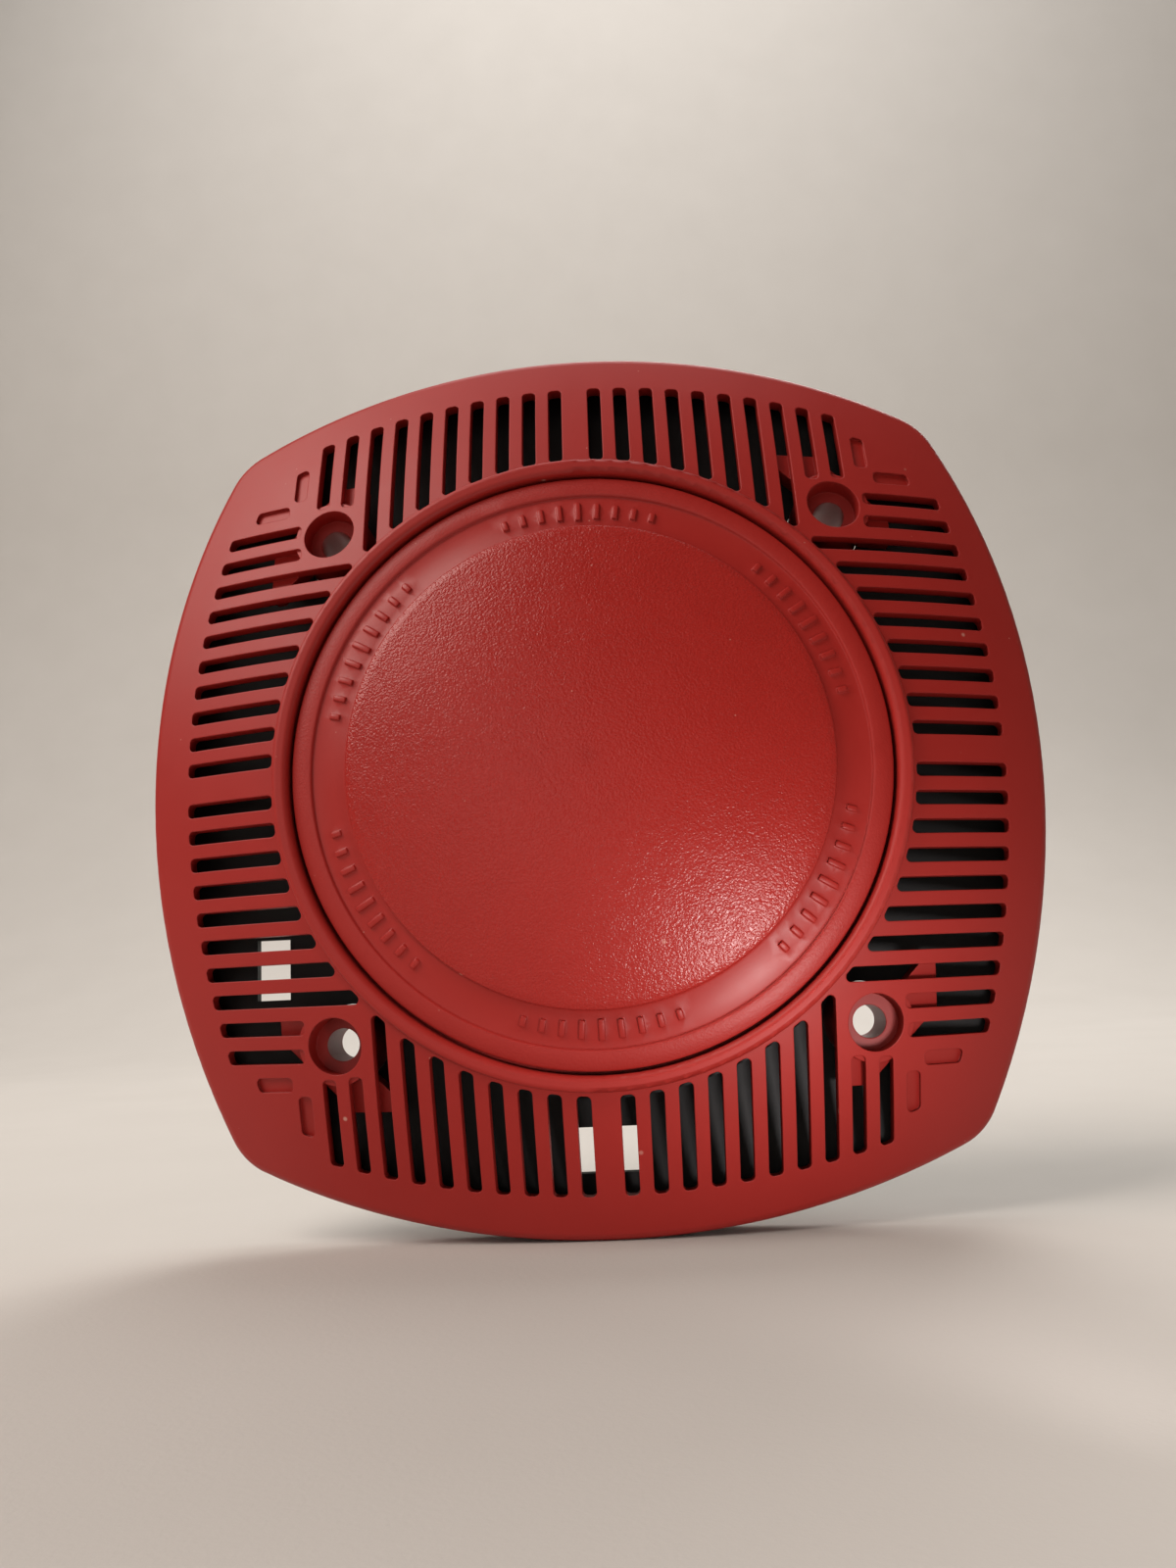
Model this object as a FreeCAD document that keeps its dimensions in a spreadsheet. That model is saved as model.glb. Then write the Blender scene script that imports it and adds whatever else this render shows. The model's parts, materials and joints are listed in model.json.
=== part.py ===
import FreeCAD, Part
import Sketcher
import math
import os
from FreeCAD import Placement, Rotation, Vector

# Wall-mounted fire alarm speaker for a 4 inch square electrical box.
# +X is right, +Z is up and the face looks along -Y. The wall is the plane y = 0 and the origin is
# the middle of the four box screws. The loudspeaker's magnet and the circuit board stand behind
# the wall plane, inside the electrical box.

# ---- driving dimensions, in millimetres, degrees or plain counts ----
DIMENSIONS = {
    # faceplate outline and face
    "half_width": 66.3,
    "side_arc": 132.0,
    "corner_round": 9.0,
    "face_arc": 148.0,
    "corner_rim": 2.736,
    "face_wall": 2.2,
    "rim_round": 1.8,
    # slots
    "slot_pitch": 4.0,
    "slot_start": 3.0,
    "slot_width": 2.05,
    "slot_end_round": 0.7,
    "slot_ring_gap": 3.35,
    "rim_margin": 6.5,
    "slot_outer_arc": 155.0,
    "recess_margin": 0.7,
    "pocket_depth": 0.6,
    "pocket_inner": 44.7,
    "pocket_length": 6.0,
    "pocket_slant": 0.6,
    # box screw holes and the pads round them
    "box_screw_half": 37.7,
    "box_screw_hole": 2.35,
    "recess_round": 4.0,
    "recess_depth": 5.163,
    "boss_wall": 1.6,
    "post_sink": 0.4,
    "pad_top": 1.8,
    "pad_depth": 3.4,
    # raised ring and the cap's seat
    "cap_round": 42.45,
    "cap_gap": 0.5,
    "ring_width": 2.25,
    "ring_rise": 1.119,
    "ring_inner_round": 0.9,
    "ring_outer_round": 0.7,
    "seat_sink": 3.9,
    "seat_wall": 2.0,
    "seat_ledge": 3.85,
    "opening_margin": 0.5,
    # centre cap
    "cap_wall": 2.0,
    "cap_skirt": 1.6,
    "zone_width": 3.05,
    "band_width": 5.2,
    "band_depth": 0.5,
    "dome_rise": 0.7,
    "edge_round": 0.35,
    "mark_rise": 0.35,
    "mark_width": 0.8,
    "mark_step": 4.2,
    "mark_longest": 3.0,
    "leg_width": 8.0,
    "leg_wall": 1.4,
    "leg_hook": 0.8,
    "leg_hook_height": 1.2,
    "leg_root": 3.0,
    "leg_play": 0.1,
    "leg_clearance": 0.3,
    # back plate
    "plate_gap": 0.5,
    "plate_rear": 1.5,
    "plate_wall": 1.8,
    "plate_hole": 41.2,
    "collar_wall": 5.8,
    "collar_front": 7.0,
    "boss_clearance": 0.1,
    "window_width": 11.0,
    "window_height": 6.5,
    "window_reach": 51.3,
    "side_window_width": 5.0,
    "side_window_height": 9.0,
    "side_window_reach": 47.0,
    "side_window_drop": 26.5,
    "plate_screw_half": 45.5,
    "plate_screw_shank": 1.4,
    "plate_screw_head": 2.5,
    "plate_screw_head_height": 1.3,
    "plate_screw_length": 4.6,
    "plate_boss": 3.0,
    # loudspeaker
    "flange_round": 46.0,
    "flange_wall": 1.0,
    "flange_hole": 38.8,
    "basket_wall": 0.8,
    "basket_mouth": 40.2,
    "basket_throat": 27.0,
    "basket_rear": 4.8,
    "basket_bore": 12.4,
    "basket_windows": 6,
    "surround_wall": 0.4,
    "surround_roll": 1.6,
    "cone_edge": 34.0,
    "cone_lip": 1.2,
    "cone_wall": 0.5,
    "cone_neck": 10.5,
    "cone_depth": 8.6,
    "dust_cap_round": 13.5,
    "dust_cap_rise": 4.0,
    "dust_cap_wall": 0.35,
    "former_wall": 0.25,
    "former_front": 0.2,
    "former_rear": 11.6,
    "coil_wall": 0.6,
    "coil_front": 6.0,
    "coil_inset": 0.6,
    "spider_wall": 0.35,
    "spider_rise": 1.4,
    "spider_rim": 25.5,
    "spider_step": 2.8,
    "spider_ramp": 0.8,
    "gasket_outer": 41.0,
    "gasket_height": 1.4,
    "gasket_gap": 0.1,
    "pole_round": 9.9,
    "pole_lead": 0.4,
    "plate_inset": 1.0,
    "top_plate_hole": 11.9,
    "top_plate_wall": 4.0,
    "magnet_round": 25.0,
    "magnet_hole": 15.0,
    "magnet_height": 9.0,
    "yoke_wall": 3.5,
    "speaker_screw_reach": 43.6,
    "speaker_screw_head": 2.3,
    "speaker_screw_head_height": 1.4,
    "speaker_screw_shank": 1.3,
    "speaker_screw_length": 4.6,
    "tag_strip_gap": 1.2,
    "tag_strip_length": 8.4,
    "tag_strip_width": 12.0,
    "tag_strip_wall": 1.2,
    "tag_reach": 28.0,
    "tag_half_spread": 3.5,
    "tag_width": 2.6,
    "tag_wall": 0.6,
    "tag_height": 6.4,
    # circuit board and what it carries
    "board_front": 9.5,
    "board_wall": 1.6,
    "board_half": 43.0,
    "board_corner_sum": 69.0,
    "board_hole": 30.0,
    "standoff_half": 31.5,
    "standoff_round": 2.8,
    "board_screw_shank": 1.3,
    "board_screw_head": 2.7,
    "board_screw_head_height": 1.8,
    "board_screw_length": 7.0,
    "core_width": 24.0,
    "core_height": 20.0,
    "core_stack": 7.0,
    "core_leg": 4.0,
    "core_window": 4.0,
    "core_centre": 37.0,
    "bobbin_wall": 0.8,
    "winding_half": 6.3,
    "spool_fit": 0.2,
    "spool_lip": 0.3,
    "strap_wall": 0.7,
    "strap_foot": 5.0,
    "strap_inset": 1.0,
    "selector_reach": 36.5,
    "selector_side": 12.0,
    "selector_height": 6.0,
    "knob_round": 4.4,
    "knob_height": 3.4,
    "knob_lift": 0.3,
    "knob_slot": 1.0,
    "knob_slot_depth": 1.2,
    "knob_pointer": 1.4,
    "spindle_round": 1.5,
    "spindle_depth": 3.5,
    "spindle_fit": 0.05,
    "spindle_end_gap": 0.2,
    "header_x": 37.0,
    "header_z": 22.0,
    "header_side": 2.5,
    "pin_pitch": 2.54,
    "pin_side": 0.64,
    "pin_height": 8.3,
    "shunt_height": 7.0,
    "shunt_fit": 0.12,
    "shunt_lift": 0.3,
    "shunt_side_gap": 0.1,
    "capacitor_x": 36.5,
    "capacitor_z": 22.0,
    "capacitor_round": 5.0,
    "capacitor_height": 12.5,
    "capacitor_groove": 0.4,
    "capacitor_groove_low": 1.2,
    "capacitor_rim": 0.5,
    "capacitor_top_sink": 0.2,
    "resistor_round": 1.25,
    "resistor_length": 6.5,
    "resistor_x": 37.5,
    "resistor_z": 18.0,
    "pole_pitch": 7.5,
    "block_end_wall": 1.6,
    "block_height": 16.6,
    "block_depth": 12.4,
    "block_reach": 30.5,
    "cage_side": 5.4,
    "cage_floor": 2.0,
    "cage_height": 7.0,
    "cage_length": 10.5,
    "clamp_wall": 1.2,
    "clamp_fit": 0.2,
    "clamp_lift": 0.3,
    "clamp_travel": 4.0,
    "clamp_overhang": 2.4,
    "thread_fit": 0.05,
    "terminal_screw_shank": 1.6,
    "terminal_screw_fit": 0.2,
    "terminal_screw_head": 2.6,
    "terminal_screw_head_height": 2.0,
    "terminal_slot": 0.8,
    "terminal_slot_depth": 1.0,
    "terminal_screw_tip": 0.6,
    "head_clearance": 0.4,
    "head_seat": 0.8,
    "head_gap": 0.2,
    "label_round": 18.0,
    "label_wall": 0.15,
    "lead_round": 0.65,
    "lead_pad_x": 37.0,
    "lead_pad_z": 11.5,
    "lead_rise": 3.2,
    "lead_shoulder": 2.0,
    "lead_run": 0.28,
}
# Corners of the pad behind the upper right screw hole, as (x, z) from the hole's axis.
PAD_CORNERS = ((-8.8, 9.5), (-1.7, 9.5), (8.7, -0.9), (8.7, -5.0), (4.1, -5.0), (-4.7, 4.0), (-8.8, 8.1))
CORNERS = ((1, 1), (1, -1), (-1, -1), (-1, 1))
SLOTS_IN_HALF = 10
MARK_GROUPS = 6
MARKS_IN_GROUP = 9
# Share of the longest mark that a group's outermost marks lose.
MARK_TAPER = 0.5
CAP_LEGS = 6
POLES = 4
# How far a cutter runs past the faces that it opens.
OVERCUT = 1
# Radius of a roll's arc over the width that it spans.
ROLL_BEND = 0.55
DIM = "Dimensions"

doc = FreeCAD.newDocument("wall_speaker")
sheet = doc.addObject("Spreadsheet::Sheet", DIM)
for row, (alias, number) in enumerate(DIMENSIONS.items(), start=1):
    sheet.set(f"A{row}", alias)
    sheet.set(f"B{row}", str(number))
    sheet.setAlias(f"B{row}", alias)
doc.recompute()


class Size:
    """A number together with the sheet expression that it comes from."""

    def __init__(self, value, text):
        self.value = value
        self.text = text

    def join(self, other, sign, value):
        return Size(value, f"({self.text} {sign} {other.text})")

    def __add__(self, other):
        other = size(other)
        return self.join(other, "+", self.value + other.value)

    def __sub__(self, other):
        other = size(other)
        return self.join(other, "-", self.value - other.value)

    def __mul__(self, other):
        other = size(other)
        return self.join(other, "*", self.value * other.value)

    def __truediv__(self, other):
        other = size(other)
        return self.join(other, "/", self.value / other.value)

    def __neg__(self):
        return Size(-self.value, f"(0 - {self.text})")

    def __radd__(self, other):
        return size(other) + self

    def __rsub__(self, other):
        return size(other) - self

    def __rmul__(self, other):
        return size(other) * self

    def root(self):
        return Size(math.sqrt(self.value), f"sqrt({self.text})")


def size(value):
    if isinstance(value, Size):
        return value
    return Size(float(value), repr(float(value)))


class Sizes:
    """The sheet's cells by name, as d.half_width."""

    def __getattr__(self, alias):
        return Size(float(sheet.get(alias)), f"{DIM}.{alias}")


d = Sizes()
derived = []
parts = []


def derive(alias, value):
    """Adds a size that follows from others to the sheet, as a formula."""
    derived.append(alias)
    row = len(DIMENSIONS) + len(derived)
    sheet.set(f"A{row}", alias)
    sheet.set(f"B{row}", "=" + value.text.replace(f"{DIM}.", ""))
    sheet.setAlias(f"B{row}", alias)
    doc.recompute()


# ---- small helpers that bind objects to the sheet ----
def bind(item, prop, value):
    """Sets a property's expression."""
    item.setExpression(prop, size(value).text)


def place(item, x=0, y=0, z=0):
    bind(item, "Placement.Base.x", x)
    bind(item, "Placement.Base.y", y)
    bind(item, "Placement.Base.z", z)
    return item


def finish(item, name):
    """Gives the item its node name and lists it for export."""
    item.Label = name
    parts.append(item)
    return item


def box(name, x, y, z, length, width, height):
    """A block from its lowest corner; length, width and height run along X, Y and Z."""
    item = doc.addObject("Part::Box", name)
    bind(item, "Length", length)
    bind(item, "Width", width)
    bind(item, "Height", height)
    return place(item, x, y, z)


def centred_box(name, x, y, z, length, width, height):
    """A block centred on x and z that starts at y."""
    return box(name, x - size(length) / 2, y, z - size(height) / 2, length, width, height)


def rod(name, x, y, z, radius, length):
    """A cylinder along +Y that starts at y."""
    item = doc.addObject("Part::Cylinder", name)
    bind(item, "Radius", radius)
    bind(item, "Height", length)
    item.Placement = Placement(Vector(0, 0, 0), Rotation(Vector(1, 0, 0), -90))
    return place(item, x, y, z)


def ball(name, y, radius):
    item = doc.addObject("Part::Sphere", name)
    bind(item, "Radius", radius)
    return place(item, 0, y, 0)


def cut(name, base, tool):
    item = doc.addObject("Part::Cut", name)
    item.Base = base
    item.Tool = tool
    return item


def common(name, first, second):
    item = doc.addObject("Part::Common", name)
    item.Base = first
    item.Tool = second
    return item


def fuse(name, pieces):
    item = doc.addObject("Part::MultiFuse", name)
    item.Shapes = pieces
    item.Refine = True
    return item


def group(name, pieces):
    """Separate solids in one node."""
    item = doc.addObject("Part::Compound", name)
    item.Links = pieces
    return item


def new_body(name):
    return doc.addObject("PartDesign::Body", name)


def new_sketch(body, name, role):
    """A sketch on one of the body's own origin planes."""
    sketch = body.newObject("Sketcher::SketchObject", name)
    plane = [item for item in body.Origin.OriginFeatures if item.Role == role][0]
    sketch.AttachmentSupport = [(plane, "")]
    sketch.MapMode = "FlatFace"
    return sketch


def pin_point(sketch, edge, end, u, v):
    """Holds one end of an edge at (u, v) of the sketch."""
    for kind, value in (("DistanceX", u), ("DistanceY", v)):
        index = sketch.addConstraint(Sketcher.Constraint(kind, -1, 1, edge, end, size(value).value))
        sketch.setExpression(f"Constraints[{index}]", size(value).text)


def draw(sketch, corners):
    """Draws a closed outline. Each corner is (u, v), or (u, v, bend) where an arc leads to the next
    corner: bend is its radius, positive when the arc turns left."""
    count = len(corners)
    spots = [Vector(size(c[0]).value, size(c[1]).value, 0) for c in corners]
    for index, corner in enumerate(corners):
        here = spots[index]
        there = spots[(index + 1) % count]
        if len(corner) == 2:
            sketch.addGeometry(Part.LineSegment(here, there), False)
            continue
        bend = size(corner[2]).value
        chord = there - here
        half = chord.Length / 2
        rise = math.sqrt(bend * bend - half * half)
        side = Vector(-chord.y, chord.x, 0).normalize()
        side.multiply(math.copysign(1, bend))
        centre = (here + there) * 0.5 + side * rise
        middle = centre - side * abs(bend)
        first, last = (here, there) if bend > 0 else (there, here)
        sketch.addGeometry(Part.Arc(first, middle, last), False)
    first_end = []
    for index, corner in enumerate(corners):
        geometry = sketch.Geometry[index]
        forward = (geometry.StartPoint - spots[index]).Length < 1e-6
        first_end.append(1 if forward else 2)
    for index, corner in enumerate(corners):
        previous = (index - 1) % count
        sketch.addConstraint(Sketcher.Constraint(
            "Coincident", previous, 3 - first_end[previous], index, first_end[index]))
        pin_point(sketch, index, first_end[index], corner[0], corner[1])
        if len(corner) == 3:
            bend = size(corner[2])
            sign = 1 if bend.value > 0 else -1
            spot = sketch.addConstraint(Sketcher.Constraint("Radius", index, abs(bend.value)))
            sketch.setExpression(f"Constraints[{spot}]", (sign * bend).text)


def turned(name, profile):
    """A body turned about the Y axis from corners (radius, y)."""
    body = new_body(name)
    sketch = new_sketch(body, name + "_profile", "XY_Plane")
    draw(sketch, profile)
    turn = body.newObject("PartDesign::Revolution", name + "_turn")
    turn.Profile = sketch
    turn.ReferenceAxis = (sketch, ["V_Axis"])
    turn.Angle = 360
    sketch.Visibility = False
    return body


def padded(name, outline, rear, depth):
    """A body with an outline in (x, z), from y = rear forward by depth."""
    body = new_body(name)
    sketch = new_sketch(body, name + "_outline", "XZ_Plane")
    bind(sketch, "AttachmentOffset.Base.z", -size(rear))
    draw(sketch, outline)
    pad = body.newObject("PartDesign::Pad", name + "_pad")
    pad.Profile = sketch
    bind(pad, "Length", depth)
    return body


def round_edges(body, name, radius, chosen):
    """Rounds the edges of the body's tip that chosen(edge) accepts."""
    doc.recompute()
    base = body.Tip
    names = [f"Edge{i}" for i, edge in enumerate(base.Shape.Edges, start=1) if chosen(edge)]
    fillet = body.newObject("PartDesign::Fillet", name)
    fillet.Base = (base, names)
    bind(fillet, "Radius", radius)
    return fillet


def ring_edge(radius, y):
    """Picks the circular edges of this radius at this y."""
    def chosen(edge):
        if edge.Degenerated or not isinstance(edge.Curve, Part.Circle):
            return False
        curve = edge.Curve
        return abs(curve.Radius - size(radius).value) < 1e-4 and abs(curve.Center.y - size(y).value) < 1e-4
    return chosen


# ---- the face's sphere, and the sizes that follow it ----
def corner_middle(half, side_arc, corner_arc):
    """Where the corner circles' centres lie on both axes. It solves their touching condition."""
    shift = half - side_arc
    reach = side_arc - corner_arc
    return (shift + (2 * reach * reach - shift * shift).root()) / 2


def sphere_y(radius, sphere):
    """Height y of a sphere round the face's centre at a distance from the axis."""
    return face_centre - (sphere * sphere - size(radius) * radius).root()


derive("outline_reach",
       corner_middle(d.half_width, d.side_arc, d.corner_round) * math.sqrt(2) + d.corner_round)
derive("face_height", d.corner_rim + d.face_arc
       - (d.face_arc * d.face_arc - d.outline_reach * d.outline_reach).root())
face_centre = d.face_arc - d.face_height
derive("ring_height", d.ring_rise - sphere_y(d.cap_round, d.face_arc))
derive("seat_height", d.ring_height - d.seat_sink)
derive("recess_floor", -sphere_y(d.box_screw_half * math.sqrt(2), d.face_arc) - d.recess_depth)
derive("slot_outer_reach", d.half_width - d.rim_margin)
derive("slot_inner_arc", d.cap_round + d.slot_ring_gap)
derive("seat_hole", d.cap_round - d.seat_ledge)
derive("band_outer", d.cap_round - d.zone_width)
derive("band_inner", d.band_outer - d.band_width)
shell_arc = d.face_arc - d.face_wall
opening = d.cap_round + d.cap_gap
seat_rear = d.seat_wall - d.seat_height


# ---- faceplate ----
def bulged_outline(half, side_arc, corner_arc):
    """Outline of the bulged square, from the points where its arcs touch."""
    shift = half - side_arc
    reach = side_arc - corner_arc
    middle = corner_middle(half, side_arc, corner_arc)
    far = middle + (middle - shift) * corner_arc / reach
    near = middle + middle * corner_arc / reach
    corners = []
    for x_sign, z_sign in ((1, 1), (-1, 1), (-1, -1), (1, -1)):
        first = (far * x_sign, near * z_sign, corner_arc)
        second = (near * x_sign, far * z_sign, side_arc)
        if x_sign * z_sign < 0:
            first, second = (near * x_sign, far * z_sign, corner_arc), (far * x_sign, near * z_sign, side_arc)
        corners += [first, second]
    return corners


def inner_outline(gap):
    """The faceplate's outline moved inward."""
    return bulged_outline(d.half_width - gap, d.side_arc - gap, d.corner_round - gap)


def face_blank():
    """Solid pillow: the outline pushed up to the face's sphere, with a rounded rim."""
    body = padded("face_blank", inner_outline(size(0)), 0, d.face_height + OVERCUT)
    sketch = new_sketch(body, "face_cutter", "XY_Plane")
    far = d.face_arc * 0.75
    edge_y = sphere_y(far, d.face_arc)
    draw(sketch, [(0, -d.face_height, d.face_arc), (far, edge_y), (far, -2 * d.face_height),
                  (0, -2 * d.face_height)])
    groove = body.newObject("PartDesign::Groove", "face_groove")
    groove.Profile = sketch
    groove.ReferenceAxis = (sketch, ["V_Axis"])
    groove.Angle = 360
    doc.recompute()

    def rim(edge):
        faces = [f for f in body.Tip.Shape.Faces if any(edge.isSame(e) for e in f.Edges)]
        kinds = sorted(type(f.Surface).__name__ for f in faces)
        return kinds == ["Cylinder", "Sphere"]

    round_edges(body, "rim_round", d.rim_round, rim)
    return body


def face_hollow():
    """Space inside the faceplate, a wall thinner than the blank."""
    column = padded("hollow_column", inner_outline(d.face_wall), OVERCUT, d.face_height + 2 * OVERCUT)
    return common("face_hollow", column, ball("hollow_ball", face_centre, shell_arc))


def slot_prism(corners):
    """A slot cutter from four (x, z) corners, with rounded upright edges."""
    ends = [Vector(x, -d.face_height.value - OVERCUT, z) for x, z in corners]
    face = Part.Face(Part.makePolygon(ends + ends[:1]))
    solid = face.extrude(Vector(0, d.face_height.value + 2 * OVERCUT, 0))
    upright = [edge for edge in solid.Edges if abs(edge.tangentAt(edge.FirstParameter).y) > 0.99]
    return solid.makeFillet(d.slot_end_round.value, upright)


def outer_reach(x):
    """How far out the slots of the upper side go at x."""
    arc = d.slot_outer_arc.value
    return d.slot_outer_reach.value - arc + math.sqrt(arc * arc - x * x)


def inner_reach(x):
    """Where the slots of the upper side start at x: on the ring's circle, or clear of a recess."""
    arc = d.slot_inner_arc.value
    circle = math.sqrt(max(arc * arc - x * x, 0))
    gap = d.recess_round.value + d.recess_margin.value
    offset = abs(x) - d.box_screw_half.value
    if offset < -gap:
        return circle
    if abs(offset) < gap:
        return max(circle, d.box_screw_half.value + math.sqrt(gap * gap - offset * offset))
    return circle


def side_slots():
    """Cutters of the upper side's slots, left and right of the middle."""
    half = d.slot_width.value / 2
    prisms = []
    for number in range(SLOTS_IN_HALF):
        middle = d.slot_start.value + number * d.slot_pitch.value
        left, right = middle - half, middle + half
        near_recess = right > d.box_screw_half.value - d.recess_round.value - d.recess_margin.value
        if near_recess:
            low = max(inner_reach(left), inner_reach(middle), inner_reach(right))
            low = max(low, d.box_screw_half.value + d.recess_round.value + d.recess_margin.value / 2)
            lows = (low, low)
        else:
            lows = (inner_reach(left), inner_reach(right))
        for sign in (1, -1):
            prisms.append(slot_prism([
                (sign * left, lows[0]), (sign * right, lows[1]),
                (sign * right, outer_reach(right)), (sign * left, outer_reach(left))]))
    return prisms


def four_sides(solids):
    """Copies of the upper side's solids on all four sides."""
    copies = []
    for quarter in range(4):
        for solid in solids:
            copy = solid.copy()
            copy.rotate(Vector(0, 0, 0), Vector(0, 1, 0), 90 * quarter)
            copies.append(copy)
    return copies


def slot_cutters():
    item = doc.addObject("Part::Feature", "slot_cutters")
    item.Shape = Part.makeCompound(four_sides(side_slots()))
    return item


def pocket_cutters():
    """The shallow blind pocket beyond the last slot, at each end of each side."""
    half = d.slot_width.value / 2
    middle = d.slot_start.value + SLOTS_IN_HALF * d.slot_pitch.value
    low = d.pocket_inner.value
    high = low + d.pocket_length.value
    slant = d.pocket_slant.value
    prisms = []
    for sign in (1, -1):
        prisms.append(slot_prism([
            (sign * (middle - half), low), (sign * (middle + half), low),
            (sign * (middle + half), high - slant), (sign * (middle - half), high)]))
    keep = Part.makeSphere(d.face_arc.value - d.pocket_depth.value, Vector(0, face_centre.value, 0))
    item = doc.addObject("Part::Feature", "pocket_cutters")
    item.Shape = Part.makeCompound([solid.cut(keep) for solid in four_sides(prisms)])
    return item


def pad_outline():
    """Upper right pad behind the slots: a block with slanted corners round the screw hole."""
    reach = d.box_screw_half.value
    return [(reach + x, reach + z) for x, z in PAD_CORNERS]


def pads():
    """Thickened pads behind the slots nearest each screw hole."""
    front = Part.makeSphere(d.face_arc.value - d.pad_top.value, Vector(0, face_centre.value, 0))
    rear = Part.makeSphere(d.face_arc.value - d.pad_top.value - d.pad_depth.value,
                           Vector(0, face_centre.value, 0))
    ends = [Vector(x, -d.face_height.value, z) for x, z in pad_outline()]
    prism = Part.Face(Part.makePolygon(ends + ends[:1])).extrude(Vector(0, d.face_height.value, 0))
    item = doc.addObject("Part::Feature", "pads")
    item.Shape = Part.makeCompound(four_sides([prism.common(front).cut(rear)]))
    return item


def seat_ring():
    """Raised ring round the opening, with the seat that the cap rests on."""
    outer = opening + d.ring_width
    body = turned("seat_ring", [
        (d.seat_hole, -d.seat_height), (opening, -d.seat_height), (opening, -d.ring_height),
        (outer, -d.ring_height), (outer, seat_rear), (d.seat_hole, seat_rear)])
    round_edges(body, "ring_inner_round", d.ring_inner_round, ring_edge(opening, -d.ring_height))
    round_edges(body, "ring_outer_round", d.ring_outer_round, ring_edge(outer, -d.ring_height))
    return body


def faceplate():
    shell = cut("shell", face_blank(), face_hollow())
    slotted = cut("slotted_shell", shell, slot_cutters())
    half = d.box_screw_half
    boss_round = d.recess_round + d.boss_wall
    bosses = []
    for x_sign, z_sign in CORNERS:
        spot = f"{len(bosses)}"
        bosses.append(rod("boss_" + spot, half * x_sign, -d.face_height, half * z_sign, boss_round,
                          d.face_height))
    plate_bosses = []
    for x_sign, z_sign in CORNERS:
        plate_bosses.append(rod(
            f"plate_boss_{len(plate_bosses)}", d.plate_screw_half * x_sign, -d.face_height,
            d.plate_screw_half * z_sign, d.plate_boss, d.face_height - d.plate_rear - d.plate_wall))
    posts = common("posts", group("post_blanks", bosses + plate_bosses),
                   ball("post_ball", face_centre, d.face_arc - d.post_sink))
    core = rod("opening_bore", 0, -d.face_height - OVERCUT, 0, opening + d.opening_margin, d.face_height)
    open_shell = cut("open_shell", slotted, core)
    solid = fuse("face_solid", [open_shell, pads(), posts, seat_ring()])
    holes = []
    for x_sign, z_sign in CORNERS:
        spot = len(holes)
        holes.append(rod(f"screw_hole_{spot}", half * x_sign, -d.face_height - OVERCUT, half * z_sign,
                         d.box_screw_hole, d.face_height + 2 * OVERCUT))
        holes.append(rod(f"screw_recess_{spot}", half * x_sign, -d.face_height - OVERCUT, half * z_sign,
                         d.recess_round, d.face_height + OVERCUT - d.recess_floor))
    for x_sign, z_sign in CORNERS:
        holes.append(rod(f"pilot_{len(holes)}", d.plate_screw_half * x_sign,
                         -d.plate_rear - d.plate_screw_length,
                         d.plate_screw_half * z_sign, d.plate_screw_shank, d.plate_screw_length))
    drilled = cut("drilled_face", solid, group("face_holes", holes))
    finish(cut("faceplate_solid", drilled, pocket_cutters()), "faceplate")


# ---- centre cap ----
def cap_marks():
    """Raised strokes on the band: groups of radial strokes that grow and shrink like a sound wave."""
    floor = d.face_arc.value - d.band_depth.value
    band_slope = math.degrees(math.asin((d.band_outer.value + d.band_inner.value) / 2 / floor))
    middle = (MARKS_IN_GROUP - 1) / 2
    strokes = []
    for number in range(MARK_GROUPS * MARKS_IN_GROUP):
        turn, spot = divmod(number, MARKS_IN_GROUP)
        offset = spot - middle
        length = d.mark_longest.value * (1 - MARK_TAPER * abs(offset) / middle)
        angle = 360 / MARK_GROUPS * turn + 90 + offset * d.mark_step.value
        stroke = Part.makeBox(length, OVERCUT + d.mark_rise.value, d.mark_width.value)
        stroke.translate(Vector(-length / 2, -floor - d.mark_rise.value, -d.mark_width.value / 2))
        stroke.rotate(Vector(0, 0, 0), Vector(0, 0, 1), band_slope)
        stroke.translate(Vector(0, face_centre.value, 0))
        stroke.rotate(Vector(0, 0, 0), Vector(0, 1, 0), -angle)
        strokes.append(stroke)
    item = doc.addObject("Part::Feature", "cap_marks")
    item.Shape = Part.makeCompound(strokes)
    return item


def polar(body, name, feature, axis_sketch, count):
    """Repeats a feature round the Y axis."""
    pattern = body.newObject("PartDesign::PolarPattern", name)
    pattern.Originals = [feature]
    pattern.Axis = (axis_sketch, ["V_Axis"])
    pattern.Angle = 360
    pattern.Occurrences = count
    body.Tip = pattern
    return pattern


def cap_legs():
    """Snap legs that pass inside the seat and hook behind it."""
    outer = d.seat_hole - d.leg_clearance
    front = -d.seat_height - d.leg_root
    rear = seat_rear + d.leg_play
    tip = rear + d.leg_hook_height
    body = new_body("cap_legs")
    sketch = new_sketch(body, "leg_profile", "XY_Plane")
    draw(sketch, [
        (outer - d.leg_wall, front), (outer, front), (outer, rear), (outer + d.leg_hook, rear),
        (outer + d.leg_hook, rear + d.leg_hook_height / 3), (outer, tip), (outer - d.leg_wall, tip)])
    pad = body.newObject("PartDesign::Pad", "leg")
    pad.Profile = sketch
    bind(pad, "Length", d.leg_width)
    pad.Midplane = True
    doc.recompute()
    polar(body, "leg_pattern", pad, sketch, CAP_LEGS)
    return body


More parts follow.
